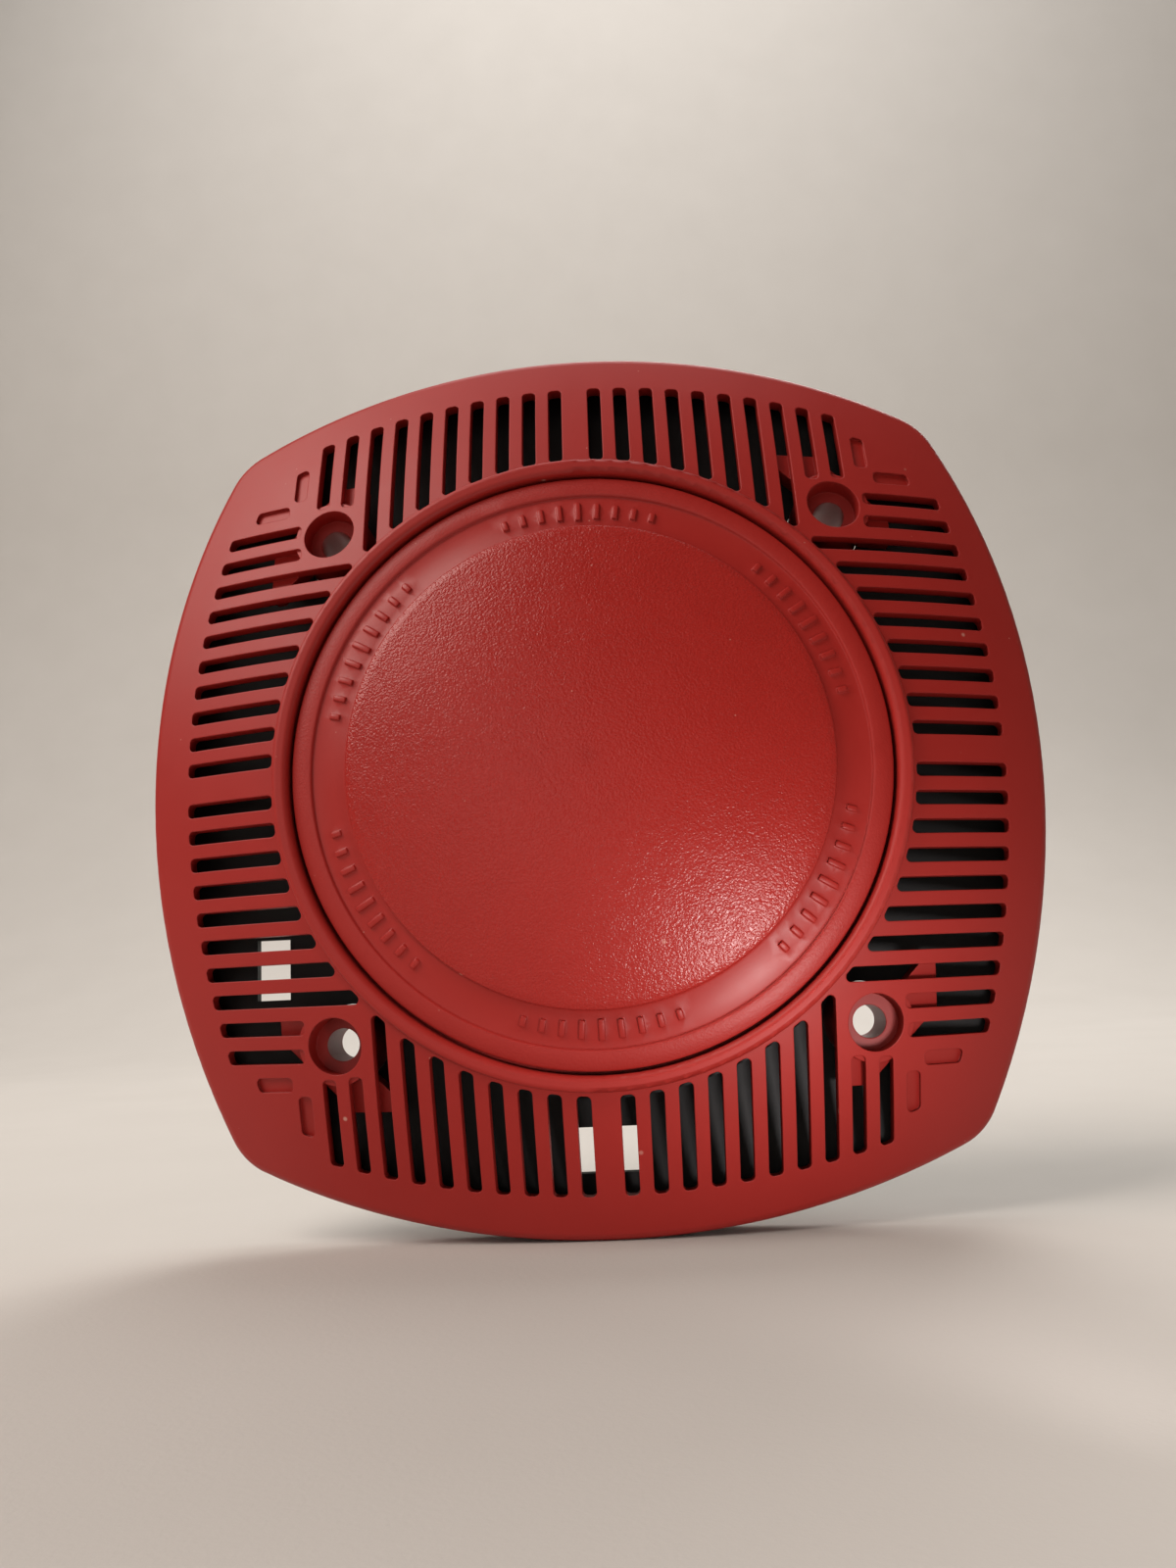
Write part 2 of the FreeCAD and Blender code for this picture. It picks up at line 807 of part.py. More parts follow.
def center_cap():
    """Round cap: outer zone flush with the face, a sunk band of marks and a raised dome."""
    outer = d.cap_round
    skirt = outer - d.cap_skirt
    floor_arc = d.face_arc - d.band_depth
    dome_arc = d.face_arc + d.dome_rise
    inside_arc = floor_arc - d.cap_wall
    body = turned("cap_blank", [
        (0, -d.seat_height), (0, sphere_y(0, dome_arc), dome_arc),
        (d.band_inner, sphere_y(d.band_inner, dome_arc)),
        (d.band_inner, sphere_y(d.band_inner, floor_arc), floor_arc),
        (d.band_outer, sphere_y(d.band_outer, floor_arc)),
        (d.band_outer, sphere_y(d.band_outer, d.face_arc), d.face_arc),
        (outer, sphere_y(outer, d.face_arc)), (outer, -d.seat_height)])
    for name, radius, arc in (("dome_edge", d.band_inner, dome_arc), ("band_edge", d.band_outer, d.face_arc),
                              ("cap_edge", outer, d.face_arc)):
        round_edges(body, name, d.edge_round, ring_edge(radius, sphere_y(radius, arc)))
    hollow = common("cap_hollow", ball("cap_hollow_ball", face_centre, inside_arc),
                    rod("cap_hollow_rod", 0, -d.face_height, 0, skirt, d.face_height))
    shell = cut("cap_shell", body, hollow)
    finish(fuse("cap_solid", [shell, cap_marks(), cap_legs()]), "center_cap")


# ---- back plate ----
def at_corners(name, half, y, radius, length):
    """A rod at each corner of a square of this half width."""
    rods = []
    for number, (x_sign, z_sign) in enumerate(CORNERS):
        rods.append(rod(f"{name}_{number}", half * x_sign, y, half * z_sign, radius, length))
    return rods


def back_plate():
    """Black plate behind the face: speaker collar in front, board standoffs behind."""
    front = -d.plate_rear - d.plate_wall
    outline = inner_outline(d.face_wall + d.plate_gap)
    plate = common("plate_trimmed", padded("plate_blank", outline, -d.plate_rear, d.plate_wall),
                   ball("plate_ball", face_centre, shell_arc - d.plate_gap))
    collar = rod("plate_collar", 0, -d.collar_front, 0, d.plate_hole + d.collar_wall,
                 d.collar_front - d.plate_rear)
    standoffs = at_corners("standoff", d.standoff_half, -d.plate_rear, d.standoff_round,
                           d.plate_rear + d.board_front)
    solid = fuse("plate_solid", [plate, collar] + standoffs)
    deep = d.plate_wall + 2 * OVERCUT
    boss_hole = d.recess_round + d.boss_wall + d.boss_clearance
    holes = [rod("plate_bore", 0, -d.collar_front - OVERCUT, 0, d.plate_hole, d.plate_wall + d.collar_front)]
    holes += at_corners("boss_hole", d.box_screw_half, front - OVERCUT, boss_hole, deep)
    holes += at_corners("plate_screw_hole", d.plate_screw_half, front - OVERCUT, d.plate_screw_shank, deep)
    holes += at_corners("speaker_pilot", speaker_screw_half, -d.flange_wall - d.collar_front,
                        d.speaker_screw_shank,
                        d.speaker_screw_length)
    holes += at_corners("board_pilot", d.standoff_half, board_rear - d.board_screw_length,
                        d.board_screw_shank,
                        d.board_screw_length)
    holes.append(box("wire_window", -d.window_width / 2, front - OVERCUT, -d.window_reach - d.window_height,
                     d.window_width, deep, d.window_height))
    holes.append(centred_box("side_window", -d.side_window_reach - d.side_window_width / 2, front - OVERCUT,
                             -d.side_window_drop, d.side_window_width, deep, d.side_window_height))
    finish(cut("plate_cut", solid, group("plate_holes", holes)), "back_plate")


def screws(name, half, seat, sign, shank, length, head, head_height):
    """Four pan head screws. The head lies on the seat plane on the side that sign gives."""
    pieces = []
    for number, (x_sign, z_sign) in enumerate(CORNERS):
        x, z = half * x_sign, half * z_sign
        head_y = seat if sign > 0 else seat - head_height
        shank_y = seat - length if sign > 0 else seat
        slot_y = seat + head_height * 0.5 if sign > 0 else seat - head_height
        blank = fuse(f"{name}_blank_{number}", [
            rod(f"{name}_head_{number}", x, head_y, z, head, head_height),
            rod(f"{name}_shank_{number}", x, shank_y, z, shank, length)])
        slot = [centred_box(f"{name}_slot_{number}", x, slot_y, z, head * 1.3, head_height * 0.5, head * 0.3),
                centred_box(f"{name}_cross_{number}", x, slot_y, z, head * 0.3, head_height * 0.5,
                            head * 1.3)]
        pieces.append(cut(f"{name}_{number}", blank, fuse(f"{name}_drive_{number}", slot)))
    finish(group(name + "_set", pieces), name)


# ---- loudspeaker ----
speaker_screw_half = d.speaker_screw_reach / math.sqrt(2)
flange_front = -d.collar_front - d.flange_wall
board_rear = d.board_front + d.board_wall
block_top = board_rear + d.block_height
yoke_front = d.basket_rear + d.top_plate_wall + d.magnet_height
yoke_rear = yoke_front + d.yoke_wall


def speaker_basket():
    rear = -d.collar_front
    floor = d.basket_rear - d.basket_wall
    body = turned("basket", [
        (d.flange_hole, flange_front), (d.flange_round, flange_front), (d.flange_round, rear),
        (d.basket_mouth, rear), (d.basket_throat, d.basket_rear), (d.basket_bore, d.basket_rear),
        (d.basket_bore, floor), (d.basket_throat - d.basket_wall, floor),
        (d.flange_hole, rear - d.basket_wall / 2)])
    sketch = new_sketch(body, "basket_window", "XY_Plane")
    low, high = rear + 2, floor - 2
    inner, outer = d.basket_throat - 4, d.basket_mouth + 2
    draw(sketch, [(inner, low), (outer, low), (outer, high), (inner, high)])
    pocket = body.newObject("PartDesign::Pocket", "basket_window_cut")
    pocket.Profile = sketch
    bind(pocket, "Length", d.basket_throat * 0.8)
    pocket.Midplane = True
    doc.recompute()
    polar(body, "basket_windows", pocket, sketch, int(d.basket_windows.value))
    holes = at_corners("flange_hole", speaker_screw_half, flange_front - OVERCUT, d.speaker_screw_shank,
                       d.flange_wall + 2 * OVERCUT)
    finish(cut("basket_drilled", body, group("flange_holes", holes)), "speaker_basket")


def moving_cone():
    """Cone, dust cap and voice coil, which move together."""
    lip = d.cone_edge + d.cone_lip
    front = flange_front
    neck = front + d.cone_depth
    finish(turned("cone_turned", [
        (d.cone_edge, front), (lip, front), (lip, front + d.cone_wall), (d.cone_edge,
                                                                         front + d.cone_wall * 1.2),
        (d.cone_neck, neck + d.cone_wall), (d.cone_neck, neck)]), "speaker_cone")
    slope = d.cone_depth / (d.cone_edge - d.cone_neck)
    foot = neck - (d.dust_cap_round - d.cone_neck) * slope
    rise = d.dust_cap_rise
    arc = (d.dust_cap_round * d.dust_cap_round + rise * rise) / (rise * 2)
    middle = foot - rise + arc
    dome = common("dust_dome", ball("dust_ball", middle, arc),
                  rod("dust_rod", 0, foot - rise - OVERCUT, 0, d.dust_cap_round, rise + OVERCUT))
    finish(cut("dust_shell", dome, ball("dust_hollow", middle, arc - d.dust_cap_wall)), "dust_cap")
    inner = d.cone_neck - d.former_wall
    finish(turned("former_turned", [
        (inner, d.former_front), (d.cone_neck, d.former_front), (d.cone_neck, d.former_rear),
        (inner, d.former_rear)]), "voice_coil_former")
    outer = d.cone_neck + d.coil_wall
    finish(turned("coil_turned", [
        (d.cone_neck, d.coil_front), (outer, d.coil_front), (outer, d.former_rear - d.coil_inset),
        (d.cone_neck, d.former_rear - d.coil_inset)]), "voice_coil")


def suspension():
    """Roll surround, spider and the gasket that clamps the surround."""
    front = flange_front
    glue = front - d.surround_wall
    inner = d.cone_edge
    roll_in, roll_out = d.cone_edge + d.cone_lip, d.flange_hole
    roll_arc = (roll_out - roll_in) * ROLL_BEND
    low_in, low_out = roll_in + d.surround_wall, roll_out - d.surround_wall
    low_arc = (low_out - low_in) * ROLL_BEND
    gasket_inner = roll_out + d.gasket_gap
    finish(turned("surround_turned", [
        (inner, glue), (roll_in, glue, roll_arc), (roll_out, glue), (d.gasket_outer, glue),
        (d.gasket_outer, front), (low_out, front, -low_arc), (low_in, front), (inner,
                                                                               front)]), "cone_surround")
    finish(turned("gasket_turned", [
        (gasket_inner, glue - d.gasket_height), (d.gasket_outer, glue - d.gasket_height),
        (d.gasket_outer, glue), (gasket_inner, glue)]), "cone_gasket")
    floor = d.basket_rear - d.basket_wall
    web = floor - d.spider_rise - d.spider_wall
    step = d.spider_rim - d.spider_step
    ramp = d.spider_ramp
    finish(turned("spider_turned", [
        (d.cone_neck, web), (step, web), (step + ramp, floor - d.spider_wall), (d.spider_rim,
                                                                                floor - d.spider_wall),
        (d.spider_rim, floor), (step + ramp * 0.6, floor), (step - ramp * 0.4, web + d.spider_wall),
        (d.cone_neck, web + d.spider_wall)]), "spider")


def motor():
    rear = d.basket_rear
    plate_rear = rear + d.top_plate_wall
    pole_front = rear - d.pole_lead
    disc = d.magnet_round - d.plate_inset
    finish(turned("top_plate_turned", [
        (d.top_plate_hole, rear), (disc, rear), (disc, plate_rear), (d.top_plate_hole, plate_rear)]),
        "magnet_top_plate")
    finish(turned("magnet_turned", [
        (d.magnet_hole, plate_rear), (d.magnet_round, plate_rear), (d.magnet_round, yoke_front),
        (d.magnet_hole, yoke_front)]), "speaker_magnet")
    finish(turned("yoke_turned", [
        (0, pole_front), (d.pole_round, pole_front), (d.pole_round, yoke_front), (disc, yoke_front),
        (disc, yoke_rear), (0, yoke_rear)]), "magnet_yoke")
    finish(turned("label_turned", [
        (0, yoke_rear), (d.label_round, yoke_rear), (d.label_round, yoke_rear + d.label_wall),
        (0, yoke_rear + d.label_wall)]), "rating_label")


def speaker_tags():
    inner = d.magnet_round - d.plate_inset + d.tag_strip_gap
    finish(centred_box("tag_strip", -inner - d.tag_strip_length / 2, d.basket_rear, 0,
                       d.tag_strip_length, d.tag_strip_wall, d.tag_strip_width), "speaker_tag_strip")
    tags = []
    for sign in (1, -1):
        tags.append(centred_box(f"tag_{len(tags)}", -d.tag_reach, d.basket_rear + d.tag_strip_wall,
                                d.tag_half_spread * sign, d.tag_wall, d.tag_height, d.tag_width))
    finish(group("tags", tags), "speaker_tags")


def tube(name, points, radius):
    """A round lead along straight runs joined by tangent arcs."""
    spots = [Vector(*point) for point in points]
    edges = []
    start = spots[0]
    for before, here, after in zip(spots, spots[1:], spots[2:]):
        run = 0.45 * min((here - before).Length, (after - here).Length)
        into = (before - here).normalize() * run
        out = (after - here).normalize() * run
        half_turn = (math.pi - into.getAngle(out)) / 2
        bend = run / math.tan(half_turn)
        toward = (into + out).normalize()
        middle = here + toward * (math.hypot(run, bend) - bend)
        print(f"{name}: bend radius {bend:.2f}")
        edges.append(Part.LineSegment(start, here + into).toShape())
        edges.append(Part.Arc(here + into, middle, here + out).toShape())
        start = here + out
    edges.append(Part.LineSegment(start, spots[-1]).toShape())
    path = Part.Wire(edges)
    profile = Part.Wire([Part.makeCircle(radius, spots[0], spots[1] - spots[0])])
    item = doc.addObject("Part::Feature", name + "_tube")
    item.Shape = path.makePipeShell([profile], True, False)
    print(f"{name}: length {path.Length:.1f}, volume ratio"
          f" {item.Shape.Volume / (math.pi * radius * radius * path.Length):.3f}")
    return item


def speaker_leads():
    """Two short leads from the speaker's tags to the board."""
    tag_x, pad_x = -d.tag_reach.value, -d.lead_pad_x.value
    tag_y = (d.basket_rear + d.tag_strip_wall + d.tag_height).value
    shoulder = tag_y + d.lead_rise.value
    top = shoulder + d.lead_shoulder.value
    near, far = d.lead_run.value, 1 - d.lead_run.value
    for name, sign in (("speaker_lead_red", 1), ("speaker_lead_black", -1)):
        tag_z, pad_z = sign * d.tag_half_spread.value, sign * d.lead_pad_z.value
        finish(tube(name, [
            (tag_x, tag_y, tag_z), (tag_x, shoulder, tag_z),
            (tag_x + (pad_x - tag_x) * near, top, tag_z + (pad_z - tag_z) * near),
            (tag_x + (pad_x - tag_x) * far, top, tag_z + (pad_z - tag_z) * far),
            (pad_x, shoulder, pad_z), (pad_x, board_rear.value, pad_z)], d.lead_round.value), name)


# ---- circuit board ----
def circuit_board():
    half, diagonal = d.board_half, d.board_corner_sum
    flat = diagonal - half
    blank = padded("board_blank", [
        (half, -flat), (half, flat), (flat, half), (-flat, half),
        (-half, flat), (-half, -flat), (-flat, -half), (flat, -half)], board_rear, d.board_wall)
    low, deep = d.board_front - OVERCUT, d.board_wall + 2 * OVERCUT
    holes = at_corners("board_hole", d.standoff_half, low, d.board_screw_shank, deep)
    holes.append(rod("board_bore", 0, low, 0, d.board_hole, deep))
    finish(cut("board_cut", blank, group("board_holes", holes)), "circuit_board")


def transformer():
    middle = d.core_centre
    low = board_rear
    leg, window = d.core_leg, d.core_window
    core = centred_box("core_blank", 0, low, middle, d.core_width, d.core_height, d.core_stack)
    windows = []
    for sign in (1, -1):
        windows.append(centred_box(f"core_window_{len(windows)}", (leg + window / 2) * sign, low + leg,
                                   middle,
                                   window, d.core_height - leg * 2, d.core_stack + 2 * OVERCUT))
    finish(cut("core_cut", core, group("core_windows", windows)), "transformer_core")
    wall = d.bobbin_wall
    span = d.core_height - leg * 2
    flange_wide, flange_tall = (leg + window) * 2 - d.spool_fit, (d.winding_half + d.spool_lip) * 2
    tube_wide, tube_tall = (leg + wall) * 2, d.core_stack + wall * 2
    spool = fuse("spool_blank", [
        centred_box("spool_low", 0, low + leg, middle, flange_wide, wall, flange_tall),
        centred_box("spool_high", 0, low + leg + span - wall, middle, flange_wide, wall, flange_tall),
        centred_box("spool_tube", 0, low + leg, middle, tube_wide, span, tube_tall)])
    hole = centred_box("spool_hole", 0, low + leg - OVERCUT, middle, leg * 2, span + 2 * OVERCUT,
                       d.core_stack)
    finish(cut("spool_cut", spool, hole), "transformer_bobbin")
    coil = centred_box("coil_blank", 0, low + leg + wall, middle, flange_wide - d.spool_fit, span - wall * 2,
                       d.winding_half * 2)
    inner = centred_box("coil_hole", 0, low + leg, middle, tube_wide, span, tube_tall)
    finish(cut("coil_cut", coil, inner), "transformer_winding")
    strap = d.strap_wall
    tall = d.core_stack - d.strap_inset
    outer = centred_box("strap_outer", 0, low, middle, d.core_width + strap * 2, d.core_height + strap, tall)
    feet = centred_box("strap_feet", 0, low, middle, d.core_width + (strap + d.strap_foot) * 2, strap, tall)
    inside = centred_box("strap_inside", 0, low - OVERCUT, middle, d.core_width, d.core_height + OVERCUT,
                         tall + 2 * OVERCUT)
    finish(cut("strap_cut", fuse("strap_blank", [outer, feet]), inside), "transformer_strap")


def tap_selector():
    x, top = d.selector_reach, board_rear + d.selector_height
    shaft_end = top - d.spindle_depth
    block = centred_box("selector_block", x, board_rear, 0, d.selector_side, d.selector_height,
                        d.selector_side)
    bore = rod("selector_bore", x, shaft_end - d.spindle_end_gap, 0, d.spindle_round + d.spindle_fit,
               d.selector_height)
    finish(cut("selector_cut", block, bore), "tap_selector_body")
    knob_y = top + d.knob_lift
    knob = fuse("knob_blank", [
        rod("knob_disc", x, knob_y, 0, d.knob_round, d.knob_height),
        rod("knob_spindle", x, shaft_end, 0, d.spindle_round, knob_y - shaft_end)])
    slots = [centred_box("knob_slot", x, knob_y + d.knob_height - d.knob_slot_depth, 0, d.knob_round * 1.5,
                         d.knob_slot_depth + OVERCUT, d.knob_slot),
             centred_box("knob_pointer", x + d.knob_round, knob_y - OVERCUT, 0, d.knob_pointer,
                         d.knob_height + 2 * OVERCUT, d.knob_slot)]
    finish(cut("knob_cut", knob, group("knob_slots", slots)), "tap_selector_knob")


def jumper():
    x, z = -d.header_x, d.header_z
    base_top = board_rear + d.header_side
    pins = [centred_box(f"pin_{number}", x, board_rear, z + d.pin_pitch * (number - 1), d.pin_side,
                        d.pin_height, d.pin_side) for number in range(3)]
    pin_set = finish(group("pin_set", pins), "jumper_pins")
    base = centred_box("header_base", x, board_rear, z, d.header_side, d.header_side, d.pin_pitch * 3)
    finish(cut("header_cut", base, pin_set), "jumper_header")
    shunt_y = base_top + d.shunt_lift
    middle = z + d.pin_pitch / 2
    block = centred_box("shunt_block", x, shunt_y, middle, d.header_side, d.shunt_height,
                        d.pin_pitch * 2 - d.shunt_side_gap)
    socket = d.pin_side + d.shunt_fit * 2
    sockets = [centred_box(f"socket_{number}", x, shunt_y - OVERCUT, z + d.pin_pitch * number, socket,
                           d.pin_height - d.header_side + OVERCUT, socket) for number in range(2)]
    finish(cut("shunt_cut", block, group("sockets", sockets)), "jumper_shunt")


def small_components():
    radius, tall = d.capacitor_round, d.capacitor_height
    groove, low, rim, sunk = d.capacitor_groove, d.capacitor_groove_low, d.capacitor_rim, d.capacitor_top_sink
    can = turned("capacitor_can", [
        (0, 0), (radius, 0), (radius, low), (radius - groove, low + groove), (radius - groove,
                                                                              low + groove * 2),
        (radius, low + groove * 3), (radius, tall - rim), (radius - rim, tall), (radius - rim - groove,
                                                                                 tall - sunk),
        (0, tall - sunk)])
    place(can, -d.capacitor_x, board_rear, -d.capacitor_z)
    finish(can, "blocking_capacitor")
    resistors = []
    for sign in (1, -1):
        item = doc.addObject("Part::Cylinder", f"resistor_{len(resistors)}")
        bind(item, "Radius", d.resistor_round)
        bind(item, "Height", d.resistor_length)
        resistors.append(place(item, d.resistor_x, board_rear + d.resistor_round,
                               d.resistor_z * sign - d.resistor_length / 2))
    finish(group("resistors", resistors), "board_resistors")


def terminals():
    """Screw terminal block: each pole has a cage, a clamp that closes and the screw that drives it."""
    wide = d.pole_pitch * POLES + d.block_end_wall * 2
    outside = -d.block_reach - d.block_depth
    block = box("block_blank", -wide / 2, board_rear, outside, wide, d.block_height, d.block_depth)
    cage_low = board_rear + d.cage_floor
    cage_top = cage_low + d.cage_height
    sink = cage_top + d.head_seat
    middle = outside + d.block_depth / 2
    holes = []
    for pole in range(POLES):
        x = d.pole_pitch * (pole - (POLES - 1) / 2)
        holes.append(box(f"cage_{pole}", x - d.cage_side / 2, cage_low, outside - OVERCUT,
                         d.cage_side, d.cage_height, d.cage_length + OVERCUT))
        holes.append(rod(f"shank_hole_{pole}", x, cage_top - OVERCUT, middle,
                         d.terminal_screw_shank + d.terminal_screw_fit, d.head_seat + 2 * OVERCUT))
        holes.append(rod(f"head_hole_{pole}", x, sink, middle,
                         d.terminal_screw_head + d.head_clearance, d.block_height))
        clamp_top = cage_top - d.clamp_lift
        clamp_side = d.cage_side - d.clamp_fit * 2
        plate = centred_box(f"clamp_blank_{pole}", x, clamp_top - d.clamp_wall, middle,
                            clamp_side, d.clamp_wall, clamp_side + d.clamp_overhang)
        thread = rod(f"clamp_thread_{pole}", x, cage_low, middle, d.terminal_screw_shank + d.thread_fit,
                     d.cage_height)
        finish(cut(f"clamp_{pole}", plate, thread), f"terminal_clamp_{pole + 1}")
        head_y = sink + d.clamp_travel + d.head_gap
        tip = clamp_top - d.clamp_wall - d.terminal_screw_tip
        screw = fuse(f"screw_blank_{pole}", [
            rod(f"screw_head_{pole}", x, head_y, middle, d.terminal_screw_head, d.terminal_screw_head_height),
            rod(f"screw_shank_{pole}", x, tip, middle, d.terminal_screw_shank, head_y - tip)])
        slot = centred_box(f"screw_slot_{pole}", x,
                           head_y + d.terminal_screw_head_height - d.terminal_slot_depth,
                           middle, d.terminal_slot, d.terminal_slot_depth + OVERCUT, d.terminal_screw_head * 3)
        finish(cut(f"screw_{pole}", screw, slot), f"terminal_screw_{pole + 1}")
    finish(cut("block_cut", block, group("block_holes", holes)), "terminal_block")


def save_parts():
    doc.recompute()
    faults = []
    for item in doc.Objects:
        if "Invalid" in item.State or "Error" in item.State:
            faults.append(f"{item.Name}: {item.State}")
    for item in parts:
        if item.Shape.isNull() or not item.Shape.isValid():
            faults.append(f"{item.Label}: bad shape")
    if faults:
        raise SystemExit("\n".join(faults))
    os.makedirs("parts", exist_ok=True)
    for item in parts:
        item.Shape.exportStep(f"parts/{item.Label}.step")
        bounds = item.Shape.BoundBox
        print(f"{item.Label}: {len(item.Shape.Solids)} solids, {item.Shape.Volume:.1f} mm3,"
              f" y {bounds.YMin:.2f} to {bounds.YMax:.2f}")


def main():
    faceplate()
    center_cap()
    back_plate()
    screws("plate_screws", d.plate_screw_half, -d.plate_rear, 1, d.plate_screw_shank, d.plate_screw_length,
           d.plate_screw_head, d.plate_screw_head_height)
    speaker_basket()
    moving_cone()
    suspension()
    motor()
    screws("speaker_screws", speaker_screw_half, flange_front, -1, d.speaker_screw_shank,
           d.speaker_screw_length,
           d.speaker_screw_head, d.speaker_screw_head_height)
    speaker_tags()
    speaker_leads()
    circuit_board()
    screws("board_screws", d.standoff_half, board_rear, 1, d.board_screw_shank, d.board_screw_length,
           d.board_screw_head, d.board_screw_head_height)
    transformer()
    tap_selector()
    jumper()
    small_components()
    terminals()
    save_parts()


main()
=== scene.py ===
import json
import math

import bmesh
import bpy
from mathutils import Matrix, Vector

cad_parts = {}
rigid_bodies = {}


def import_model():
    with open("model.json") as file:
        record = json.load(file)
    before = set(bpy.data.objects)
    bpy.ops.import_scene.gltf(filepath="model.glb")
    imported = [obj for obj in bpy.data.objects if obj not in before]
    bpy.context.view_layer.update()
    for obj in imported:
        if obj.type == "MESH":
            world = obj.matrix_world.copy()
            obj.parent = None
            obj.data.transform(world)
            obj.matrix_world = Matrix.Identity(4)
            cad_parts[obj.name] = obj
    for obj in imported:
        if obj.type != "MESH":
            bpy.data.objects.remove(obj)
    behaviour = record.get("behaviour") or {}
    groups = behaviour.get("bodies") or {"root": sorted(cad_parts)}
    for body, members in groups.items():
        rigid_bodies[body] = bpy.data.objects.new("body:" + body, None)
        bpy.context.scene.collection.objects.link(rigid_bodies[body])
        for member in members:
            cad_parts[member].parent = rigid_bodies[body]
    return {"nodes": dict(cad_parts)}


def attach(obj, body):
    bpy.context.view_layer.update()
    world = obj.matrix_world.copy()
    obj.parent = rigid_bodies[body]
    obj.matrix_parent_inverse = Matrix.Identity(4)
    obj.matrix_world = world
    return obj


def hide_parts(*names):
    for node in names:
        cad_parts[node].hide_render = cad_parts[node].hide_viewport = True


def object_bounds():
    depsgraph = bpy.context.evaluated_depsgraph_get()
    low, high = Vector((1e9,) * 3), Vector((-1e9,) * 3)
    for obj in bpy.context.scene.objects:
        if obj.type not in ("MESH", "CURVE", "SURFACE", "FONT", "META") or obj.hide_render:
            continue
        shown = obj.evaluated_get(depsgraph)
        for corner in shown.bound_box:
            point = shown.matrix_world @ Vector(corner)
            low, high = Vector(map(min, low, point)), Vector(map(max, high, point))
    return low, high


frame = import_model()
cadLow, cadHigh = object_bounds()
bpy.ops.object.select_all(action="DESELECT")
nodes = frame["nodes"]
print("frame loaded:", len(nodes), "parts")


# The camera stands low in front of the face and looks slightly up.
cameraSet = {
    "place": (0.0057, -0.1854, -0.0304),
    "aim": (-0.0003, -0.0200, -0.0033),
    "roll": -2.65,
    "lens": 27.75,
}


def makeCamera(setup):
    bpy.ops.object.camera_add(location=setup["place"])
    camera = bpy.context.object
    camera.name = "viewCamera"
    look = Vector(setup["aim"]) - Vector(setup["place"])
    turn = Matrix.Rotation(math.radians(setup["roll"]), 3, "Z")
    camera.rotation_euler = (look.to_track_quat("-Z", "Y").to_matrix() @ turn).to_euler()
    camera.data.lens = setup["lens"]
    camera.data.sensor_width = 36
    camera.data.clip_start = 0.01
    bpy.context.scene.camera = camera


makeCamera(cameraSet)


# A socket that can be used in sums, and that makes any other node of its material.
class Wire:
    def __init__(self, tree, socket=None):
        self.tree = tree
        self.socket = socket

    def node(self, kind, settings=None, values=None, out=0):
        item = self.tree.nodes.new("ShaderNode" + kind)
        for name, value in (settings or {}).items():
            if name == "stops":
                ramp = item.color_ramp
                while len(ramp.elements) < len(value):
                    ramp.elements.new(0.5)
                for element, (spot, tone) in zip(ramp.elements, value):
                    element.position = spot
                    element.color = tone if len(tone) == 4 else (*tone, 1)
            else:
                setattr(item, name, value)
        for name, value in (values or {}).items():
            if isinstance(value, Wire):
                self.tree.links.new(value.socket, item.inputs[name])
            else:
                item.inputs[name].default_value = value
        return Wire(self.tree, item.outputs[out])

    def math(self, operation, first, second=0.0, third=0.0):
        return self.node("Math", {"operation": operation}, {0: first, 1: second, 2: third})

    def __add__(self, other):
        return self.math("ADD", self, other)

    def __radd__(self, other):
        return self.math("ADD", other, self)

    def __sub__(self, other):
        return self.math("SUBTRACT", self, other)

    def __rsub__(self, other):
        return self.math("SUBTRACT", other, self)

    def __mul__(self, other):
        return self.math("MULTIPLY", self, other)

    def __rmul__(self, other):
        return self.math("MULTIPLY", other, self)

    def __truediv__(self, other):
        return self.math("DIVIDE", self, other)

    def clamp(self):
        return self.node("Clamp", None, {"Value": self})

    def above(self, level, blur):
        return self.node("MapRange", {"interpolation_type": "SMOOTHSTEP"},
                         {"Value": self, "From Min": level - blur, "From Max": level + blur})

    def blend(self, first, second):
        def tone(value):
            return value if isinstance(value, Wire) else (*value, 1)
        return self.node("Mix", {"data_type": "RGBA"}, {0: self, 6: tone(first), 7: tone(second)}, 2)


class Finish:
    def __init__(self, name):
        self.material = bpy.data.materials.new(name)
        self.material.use_nodes = True
        tree = self.material.node_tree
        self.shader = tree.nodes["Principled BSDF"]
        self.wire = Wire(tree)
        self.place = self.wire.node("TexCoord", out=3)

    def fixed(self, **values):
        for name, value in values.items():
            self.shader.inputs[name.replace("_", " ")].default_value = value
        return self

    def feed(self, name, wire):
        self.wire.tree.links.new(wire.socket, self.shader.inputs[name])

    def noise(self, size, detail=2.0, roughness=0.5, place=None, out=0):
        return self.wire.node("TexNoise", None, {
            "Vector": place or self.place, "Scale": 1 / size, "Detail": detail, "Roughness": roughness}, out)

    def cells(self, size, feature="F1", place=None, out=0, **values):
        settings = {"Vector": place or self.place, "Scale": 1 / size}
        settings.update(values)
        return self.wire.node("TexVoronoi", {"feature": feature}, settings, out)

    def axis(self, number, place=None):
        return self.wire.node("SeparateXYZ", None, {0: place or self.place}, number)

    def bump(self, height, distance, under=None, strength=1.0):
        values = {"Height": height, "Distance": distance, "Strength": strength}
        if under is not None:
            values["Normal"] = under
        return self.wire.node("Bump", None, values)


